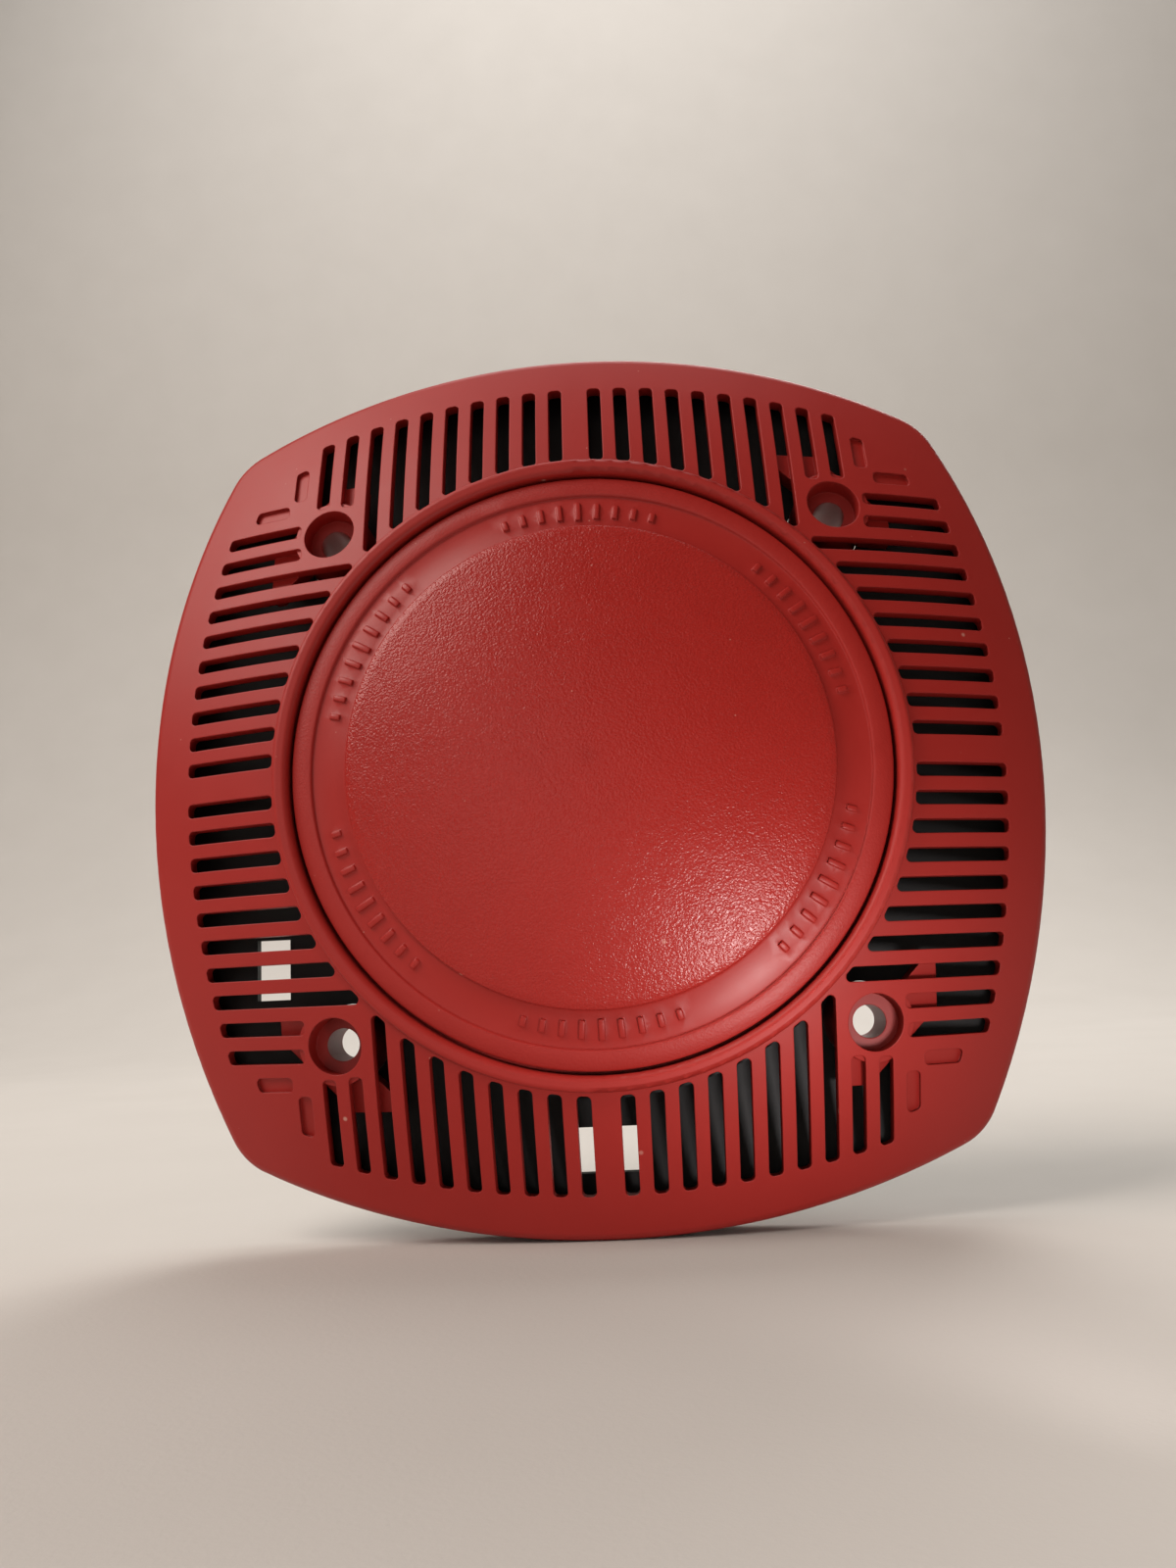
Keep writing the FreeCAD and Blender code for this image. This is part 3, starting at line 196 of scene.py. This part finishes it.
# Moulded red plastic. The face has a fine grain, the cap's middle a coarse pebble and the band is smooth.
redSet = {
    "deep": (0.280, 0.0140, 0.0110),
    "bright": (0.370, 0.0200, 0.0150),
    "grain": 0.00024,
    "grainDepth": 0.000007,
    "pebble": 0.00037,
    "pebbleDepth": 0.000084,
    "domeGloss": 0.19,                  # how much smoother the cap's middle is
    "bandGloss": 0.06,
    "dustTone": (0.66, 0.40, 0.32),
    "dustCell": 0.0046,                 # one speck at most in each cell of this size
    "roughness": 0.46,
    "shine": 0.3,
    "edge": 0.00025,                    # radius that the light sees on sharp edges
}


def radiusFrom(finish):
    x, z = finish.axis(0), finish.axis(2)
    return finish.wire.math("SQRT", x * x + z * z)


def dustSpecks(finish, size, amount):
    near = finish.cells(size)
    cellTone = finish.cells(size, out=1)
    chance = finish.wire.node("SeparateColor", None, {0: cellTone}, 0)
    grow = finish.wire.node("SeparateColor", None, {0: cellTone}, 1)
    return (1 - near.above(0.065, 0.03)) * chance.above(1 - amount, 0.01) * (0.4 + grow * 0.6)


def redPlastic(name, pebbled):
    finish = Finish(name)
    broad = finish.noise(0.045, 3.0)
    fine = finish.noise(redSet["grain"], 3.0, 0.6)
    cloudy = finish.noise(0.006, 4.0, 0.6)
    tone = (broad * 0.6 + cloudy * 0.3 + fine * 0.25 - 0.1).clamp()
    colour = tone.blend(redSet["deep"], redSet["bright"])
    specks = dustSpecks(finish, redSet["dustCell"], 0.10)
    lint = dustSpecks(finish, redSet["dustCell"] * 0.37, 0.06) * 0.7
    dust = finish.wire.math("MAXIMUM", specks, lint)
    finish.feed("Base Color", (dust * 0.75).blend(colour, redSet["dustTone"]))
    rounded = finish.wire.node("Bevel", {"samples": 6}, {"Radius": redSet["edge"]})
    normal = finish.bump(fine, redSet["grainDepth"], rounded)
    rough = redSet["roughness"] + (cloudy - 0.5) * 0.10 + (fine - 0.5) * 0.12
    if pebbled:
        radius = radiusFrom(finish)
        inDome = 1 - radius.above(pebbled["dome"], 0.0004)
        inBand = (radius.above(pebbled["dome"], 0.0002)) * (1 - radius.above(pebbled["band"], 0.0003))
        warp = finish.noise(0.0016, 2.0, 0.5, out=1)
        bent = finish.wire.node("VectorMath", {"operation": "MULTIPLY_ADD"},
                                {0: warp, 1: (0.0007,) * 3, 2: finish.place})
        lumps = finish.cells(redSet["pebble"], "SMOOTH_F1", bent, Smoothness=0.45)
        small = finish.cells(redSet["pebble"] * 0.5, "SMOOTH_F1", bent, Smoothness=0.7)
        height = (1 - lumps) * 0.65 + (1 - small) * 0.35
        textured = inDome + (1 - inDome) * (1 - inBand) * 0.35
        outward = finish.wire.node("VectorMath", {"operation": "SUBTRACT"},
                                   {0: finish.place, 1: pebbled["middle"]})
        sphere = finish.wire.node("VectorMath", {"operation": "NORMALIZE"}, {0: outward})
        flat = 1 - radius.above(pebbled["dome"] - 0.001, 0.0003)
        normal = finish.bump(fine, redSet["grainDepth"], finish.wire.node(
            "Mix", {"data_type": "VECTOR"}, {0: flat, 4: rounded, 5: sphere}, 1))
        normal = finish.bump(height * textured, redSet["pebbleDepth"], normal)
        rough = rough - inDome * redSet["domeGloss"] - inBand * redSet["bandGloss"]
    finish.feed("Normal", normal)
    finish.feed("Roughness", rough + dust * 0.3)
    finish.fixed(Specular_IOR_Level=redSet["shine"])
    return finish.material


# Plain moulded plastic, with a fine grain and a little shine that comes and goes.
def mouldedPlastic(name, tone, roughness=0.5, grain=0.0003, depth=0.000008, change=0.25):
    finish = Finish(name)
    fine = finish.noise(grain, 3.0, 0.6)
    broad = finish.noise(0.008, 4.0, 0.6)
    dark = tuple(part * (1 - change) for part in tone)
    light = tuple(min(1, part * (1 + change) + 0.004) for part in tone)
    finish.feed("Base Color", (broad * 0.8 + fine * 0.2).clamp().blend(dark, light))
    finish.feed("Roughness", roughness + (broad - 0.5) * 0.18 + (fine - 0.5) * 0.1)
    finish.feed("Normal", finish.bump(fine, depth))
    return finish.material


# Bare metal with rolling marks along one axis and a film of handling.
def bareMetal(name, tone, roughness=0.32, along=(0.2, 1.0, 1.0), mark=0.0004, tarnish=(0.25, 0.22, 0.18)):
    finish = Finish(name)
    stretched = finish.wire.node("Mapping", None, {"Vector": finish.place, "Scale": along})
    lines = finish.noise(mark, 4.0, 0.65, stretched)
    stain = finish.noise(0.006, 5.0, 0.65)
    shade = tuple(part * 0.72 for part in tone)
    clean = lines.blend(shade, tone)
    finish.feed("Base Color", (stain.above(0.62, 0.12) * 0.35).blend(clean, tarnish))
    finish.feed("Roughness", roughness + (lines - 0.5) * 0.22 + stain.above(0.6, 0.15) * 0.15)
    finish.feed("Normal", finish.bump(lines, 0.000006))
    finish.fixed(Metallic=1.0)
    return finish.material


# Printed board: a green mask over short straight tracks, with tinned pads where some of them end.
boardSet = {
    "pitch": 0.00254,
    "track": 0.11,                      # half a track's width, in pitches
    "pad": 0.30,                        # a pad's radius, in pitches
    "mask": (0.006, 0.075, 0.026),
    "trackTone": (0.016, 0.150, 0.055),
    "tin": (0.66, 0.64, 0.58),
    "roughness": 0.32,
}


def printedBoard(name):
    finish = Finish(name)
    scaled = finish.wire.node("VectorMath", {"operation": "SCALE"},
                              {0: finish.place, "Scale": 1 / boardSet["pitch"]})
    whole = finish.wire.node("VectorMath", {"operation": "FLOOR"}, {0: scaled})
    inside = finish.wire.node("VectorMath", {"operation": "FRACTION"}, {0: scaled})
    chance = finish.wire.node("TexWhiteNoise", None, {"Vector": whole})
    u = finish.wire.math("ABSOLUTE", finish.axis(0, inside) - 0.5)
    v = finish.wire.math("ABSOLUTE", finish.axis(2, inside) - 0.5)
    across = chance.above(0.45, 0.01)
    line = 1 - (u * across + v * (1 - across)).above(boardSet["track"], 0.02)
    line = line * (1 - chance.above(0.86, 0.005))
    distance = finish.wire.math("SQRT", u * u + v * v)
    padHere = finish.wire.math("FRACT", chance * 7.0).above(0.80, 0.01)
    pad = (1 - distance.above(boardSet["pad"], 0.02)) * padHere
    broad = finish.noise(0.01, 4.0)
    mask = (broad * 0.5).blend(boardSet["mask"], tuple(part * 1.4 for part in boardSet["mask"]))
    colour = pad.blend(line.blend(mask, boardSet["trackTone"]), boardSet["tin"])
    finish.feed("Base Color", colour)
    finish.feed("Metallic", pad * 0.9)
    finish.feed("Roughness", boardSet["roughness"] + (broad - 0.5) * 0.15)
    height = finish.wire.math("MAXIMUM", line * 0.5, pad) + finish.noise(0.0003, 2.0) * 0.15
    finish.feed("Normal", finish.bump(height, 0.00005))
    return finish.material


# Thin steel sheets in a stack, with dark gaps between them.
def stackedSheets(name, tone, sheet):
    finish = Finish(name)
    phase = finish.wire.math("PINGPONG", finish.axis(2) / sheet, 0.5) * 2
    gap = 1 - phase.above(0.22, 0.12)
    stain = finish.noise(0.003, 4.0, 0.6)
    rust = stain.above(0.66, 0.08) * 0.5
    plain = rust.blend(tone, (0.16, 0.06, 0.025))
    finish.feed("Base Color", (gap * 0.8).blend(plain, (0.01, 0.01, 0.01)))
    finish.feed("Roughness", 0.42 + (stain - 0.5) * 0.25 + gap * 0.2)
    finish.feed("Metallic", 0.8 - gap * 0.6 - rust * 0.6)
    finish.feed("Normal", finish.bump(1 - gap, 0.00008, finish.bump(finish.noise(0.0002), 0.000008)))
    return finish.material


# Capacitor sleeve: dark blue, a pale stripe down the outer side and a bare aluminium top.
def capacitorSleeve(name, axisX, axisZ, top):
    finish = Finish(name)
    x, y, z = finish.axis(0), finish.axis(1), finish.axis(2)
    beside = finish.wire.math("ABSOLUTE", z - axisZ)
    stripe = (1 - beside.above(0.0015, 0.0001)) * (1 - x.above(axisX, 0.0001))
    cap = y.above(top, 0.00005)
    fine = finish.noise(0.0008, 3.0)
    sleeve = stripe.blend((0.010, 0.016, 0.060), (0.50, 0.52, 0.55))
    scuffed = fine.above(0.9, 0.2).blend(sleeve, (0.03, 0.04, 0.1))
    finish.feed("Base Color", cap.blend(scuffed, (0.72, 0.72, 0.72)))
    finish.feed("Metallic", cap)
    finish.feed("Roughness", 0.26 + cap * 0.08 + (fine - 0.5) * 0.12)
    finish.feed("Normal", finish.bump(finish.noise(0.0012, 2.0), 0.00002))
    return finish.material


# Resistor: a tan body with four coloured bands along its axis, which is Z.
bandTones = ((-0.0021, (0.10, 0.03, 0.01)), (-0.0009, (0.01, 0.01, 0.01)), (0.0003, (0.45, 0.02, 0.01)),
             (0.0019, (0.50, 0.32, 0.06)))


def resistorPaint(name, middle):
    finish = Finish(name)
    along = finish.wire.math("ABSOLUTE", finish.axis(2)) - middle
    fine = finish.noise(0.0005, 3.0)
    colour = fine.blend((0.42, 0.26, 0.12), (0.52, 0.34, 0.17))
    for offset, tone in bandTones:
        band = 1 - finish.wire.math("ABSOLUTE", along - offset).above(0.0003, 0.00003)
        colour = band.blend(colour, tone)
    finish.feed("Base Color", colour)
    finish.feed("Roughness", 0.3 + fine * 0.12)
    finish.feed("Normal", finish.bump(fine, 0.00002))
    return finish.material


# Terminal block: green plastic with a seam between its poles.
def seamedPlastic(name, tone, pitch):
    finish = Finish(name)
    phase = finish.wire.math("PINGPONG", finish.axis(0) / pitch, 0.5)
    seam = 1 - phase.above(0.018, 0.008)
    fine = finish.noise(0.0003, 3.0, 0.6)
    broad = finish.noise(0.006, 4.0)
    dark = tuple(part * 0.75 for part in tone)
    finish.feed("Base Color", (seam * 0.8).blend(broad.blend(dark, tone), (0.002, 0.02, 0.008)))
    finish.feed("Roughness", 0.40 + (broad - 0.5) * 0.2 + seam * 0.2)
    finish.feed("Normal", finish.bump(1 - seam, 0.00015, finish.bump(fine, 0.000008)))
    return finish.material


# Label: plain paper with a grey border.
def borderedPaper(name, border):
    finish = Finish(name)
    radius = radiusFrom(finish)
    ring = radius.above(border, 0.00005) * (1 - radius.above(border + 0.0006, 0.00005))
    fibre = finish.noise(0.0004, 4.0, 0.7)
    stain = finish.noise(0.008, 4.0).above(0.6, 0.15) * 0.4
    paper = stain.blend((0.72, 0.71, 0.67), (0.60, 0.56, 0.47))
    finish.feed("Base Color", (ring * 0.85).blend(paper, (0.12, 0.12, 0.13)))
    finish.feed("Roughness", 0.55 + fibre * 0.2)
    finish.feed("Normal", finish.bump(fibre, 0.00001))
    return finish.material


def setMaterial(names, material):
    for name in names:
        piece = nodes[name]
        if not piece.material_slots:
            piece.data.materials.append(material)
        for slot in piece.material_slots:
            slot.material = material


# A piece made from a CAD mesh: merged, with its sharp edges softened, in place of the CAD node.
def soften(name, width, degrees=35, segments=2):
    bpy.ops.object.select_all(action="DESELECT")
    piece = nodes[name].copy()
    piece.data = nodes[name].data.copy()
    piece.name = name + "Soft"
    piece.parent = None
    bpy.context.collection.objects.link(piece)
    bpy.context.view_layer.objects.active = piece
    piece.select_set(True)
    bpy.ops.object.mode_set(mode="EDIT")
    bpy.ops.mesh.select_all(action="SELECT")
    bpy.ops.mesh.remove_doubles(threshold=0.000004)
    bpy.ops.mesh.dissolve_limited(angle_limit=math.radians(0.05))
    bpy.ops.object.mode_set(mode="OBJECT")
    edge = piece.modifiers.new("edge", "BEVEL")
    edge.width = width
    edge.segments = segments
    edge.limit_method = "ANGLE"
    edge.angle_limit = math.radians(degrees)
    edge.use_clamp_overlap = False
    bpy.ops.object.modifier_apply(modifier="edge")
    bpy.ops.object.shade_smooth_by_angle(angle=math.radians(degrees))
    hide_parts(name)
    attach(piece, nodes[name].parent.name.removeprefix("body:"))
    nodes[name] = piece
    return piece


capSet = {
    "edge": 0.0001,
    "dome": 0.0342,                     # radius of the domed middle
    "band": 0.0394,                     # outer radius of the sunk band round it
    "middle": (0, 0.124, 0),            # middle of the sphere that the dome is part of
}
soften("center_cap", capSet["edge"])
print("moulded edges softened")


faceRed = redPlastic("faceRed", None)
capRed = redPlastic("capRed", capSet)
blackPlastic = mouldedPlastic("blackPlastic", (0.0045, 0.0045, 0.005), 0.62)
zincSteel = bareMetal("zincSteel", (0.60, 0.58, 0.53))
setMaterial(["faceplate"], faceRed)
setMaterial(["center_cap"], capRed)
setMaterial(["back_plate", "jumper_header"], blackPlastic)
terminalMetal = [f"terminal_{kind}_{pole}" for kind in ("clamp", "screw") for pole in range(1, 5)]
setMaterial(["plate_screws", "speaker_screws", "board_screws"] + terminalMetal, zincSteel)
setMaterial(["transformer_strap", "magnet_top_plate", "magnet_yoke"], zincSteel)
setMaterial(["speaker_basket"], mouldedPlastic("basketPaint", (0.02, 0.02, 0.022), 0.38, 0.0004))
conePaper = mouldedPlastic("conePaper", (0.022, 0.021, 0.02), 0.85, 0.0005, 0.00004)
foamBlack = mouldedPlastic("foamBlack", (0.015, 0.015, 0.015), 0.95, 0.0004, 0.00006)
setMaterial(["speaker_cone", "dust_cap"], conePaper)
setMaterial(["cone_surround", "cone_gasket"], foamBlack)
setMaterial(["spider"], mouldedPlastic("spiderCloth", (0.5, 0.3, 0.08), 0.8, 0.0004, 0.00004))
setMaterial(["speaker_magnet"], mouldedPlastic("ferrite", (0.035, 0.034, 0.034), 0.5, 0.0003, 0.00002))
setMaterial(["voice_coil"], bareMetal("copperWire", (0.75, 0.32, 0.13)))
setMaterial(["voice_coil_former", "speaker_tag_strip"], mouldedPlastic("phenolic", (0.20, 0.085, 0.03), 0.6))
setMaterial(["speaker_tags", "jumper_pins"], bareMetal("tinnedBrass", (0.75, 0.70, 0.55), 0.28))
setMaterial(["speaker_lead_red"], mouldedPlastic("leadRed", (0.45, 0.01, 0.008), 0.4))
setMaterial(["speaker_lead_black"], mouldedPlastic("leadBlack", (0.01, 0.01, 0.01), 0.4))
setMaterial(["circuit_board"], printedBoard("boardGreen"))
setMaterial(["transformer_core"], stackedSheets("coreSteel", (0.24, 0.24, 0.25), 0.0005))
setMaterial(["transformer_bobbin"], mouldedPlastic("nylon", (0.62, 0.58, 0.46), 0.5))
setMaterial(["transformer_winding"], mouldedPlastic("tapeYellow", (0.62, 0.36, 0.03), 0.35))
setMaterial(["tap_selector_body", "jumper_shunt"], mouldedPlastic("bluePlastic", (0.012, 0.05, 0.22), 0.45))
setMaterial(["tap_selector_knob"], mouldedPlastic("whitePlastic", (0.72, 0.71, 0.66), 0.45))
setMaterial(["blocking_capacitor"], capacitorSleeve("sleeveBlue", -0.0365, -0.022, 0.0232))
setMaterial(["board_resistors"], resistorPaint("resistorTan", 0.018))
setMaterial(["terminal_block"], seamedPlastic("terminalGreen", (0.010, 0.150, 0.055), 0.0075))
setMaterial(["rating_label"], borderedPaper("labelPaper", 0.0162))
print("materials set")


# A pale tray with rounded corners: the floor under the object, and walls all round it well away from it.
stageSet = {
    "width": 4.0,
    "front": -2.0,
    "back": 1.1,
    "height": 2.2,
    "round": 0.6,
    "tone": (0.52, 0.50, 0.47),
    "shade": (0.48, 0.46, 0.43),
}


def makeStage(setup):
    bpy.ops.mesh.primitive_plane_add(size=1)
    floor = bpy.context.object
    floor.name = "floorSweep"
    mesh = floor.data
    half = setup["width"] / 2
    corners = [(x, y) for y in (setup["front"], setup["back"]) for x in (-half, half)]
    for vertex, (x, y) in zip(mesh.vertices, corners):
        vertex.co = (x, y, cadLow.z)
    bpy.ops.object.mode_set(mode="EDIT")
    bpy.ops.mesh.select_all(action="DESELECT")
    edit = bmesh.from_edit_mesh(mesh)
    for edge in edit.edges:
        edge.select_set(edge.is_boundary)
    bmesh.update_edit_mesh(mesh)
    bpy.ops.mesh.extrude_region_move(TRANSFORM_OT_translate={"value": (0, 0, setup["height"])})
    bpy.ops.mesh.select_all(action="DESELECT")
    edit = bmesh.from_edit_mesh(mesh)
    for edge in edit.edges:
        edge.select_set(not edge.is_boundary)
    bmesh.update_edit_mesh(mesh)
    bpy.ops.mesh.bevel(offset=setup["round"], segments=24, profile=0.5)
    bpy.ops.mesh.select_all(action="SELECT")
    bpy.ops.object.mode_set(mode="OBJECT")
    bpy.ops.object.shade_smooth()
    finish = Finish("paleFloor")
    finish.feed("Base Color", finish.noise(0.05, 4.0).blend(setup["tone"], setup["shade"]))
    finish.feed("Roughness", 0.75 + finish.noise(0.01, 3.0) * 0.1)
    finish.feed("Normal", finish.bump(finish.noise(0.0006, 3.0), 0.00003))
    mesh.materials.append(finish.material)


makeStage(stageSet)


# Soft lights. The low one is a small card in front of the cap, which makes the shine on the dome.
lightSet = {
    "key": {"place": (-0.95, -0.64, 1.05), "aim": (0, 0, 0), "size": 1.0, "power": 17.0, "spread": 150,
            "tone": (1.0, 0.90, 0.83)},
    "fill": {"place": (-0.3, -1.2, 0.1), "aim": (0, 0, 0), "size": 0.7, "power": 0.5, "spread": 90,
             "tone": (1.0, 0.92, 0.86)},
    "wall": {"place": (0.0, 0.45, 1.6), "aim": (0, 1.1, 0.7), "size": 1.0, "power": 10.5, "spread": 150,
             "tone": (1.0, 0.97, 0.95)},
    "rear": {"place": (0.30, 0.80, 0.75), "aim": (0, 0.02, 0), "size": 0.7, "power": 3.2, "spread": 120,
             "tone": (1.0, 0.96, 0.92)},
    "card": {"place": (0.052, -0.098, -0.057), "aim": (0.021, -0.022, -0.033), "size": 0.015, "power": 0.0115,
             "spread": 70, "bounces": 0, "tone": (1.0, 0.92, 0.90)},
}


def makeLight(name, setup):
    bpy.ops.object.light_add(type="AREA", location=setup["place"])
    light = bpy.context.object
    light.name = name + "Light"
    look = Vector(setup["aim"]) - Vector(setup["place"])
    light.rotation_euler = look.to_track_quat("-Z", "Y").to_euler()
    light.data.size = setup["size"]
    light.data.spread = math.radians(setup["spread"])
    light.data.energy = setup["power"]
    light.data.color = setup["tone"]
    light.visible_camera = False
    light.data.cycles.max_bounces = setup.get("bounces", 8)


for lightName, lightSetup in lightSet.items():
    makeLight(lightName, lightSetup)
airSet = {"tone": (1.0, 0.96, 0.9, 1), "strength": 0.10}
world = bpy.data.worlds.new("studioWorld")
bpy.context.scene.world = world
world.use_nodes = True
background = world.node_tree.nodes["Background"]
background.inputs["Color"].default_value = airSet["tone"]
background.inputs["Strength"].default_value = airSet["strength"]
bpy.context.scene.view_settings.view_transform = "Standard"
print("camera, stage and lights set")
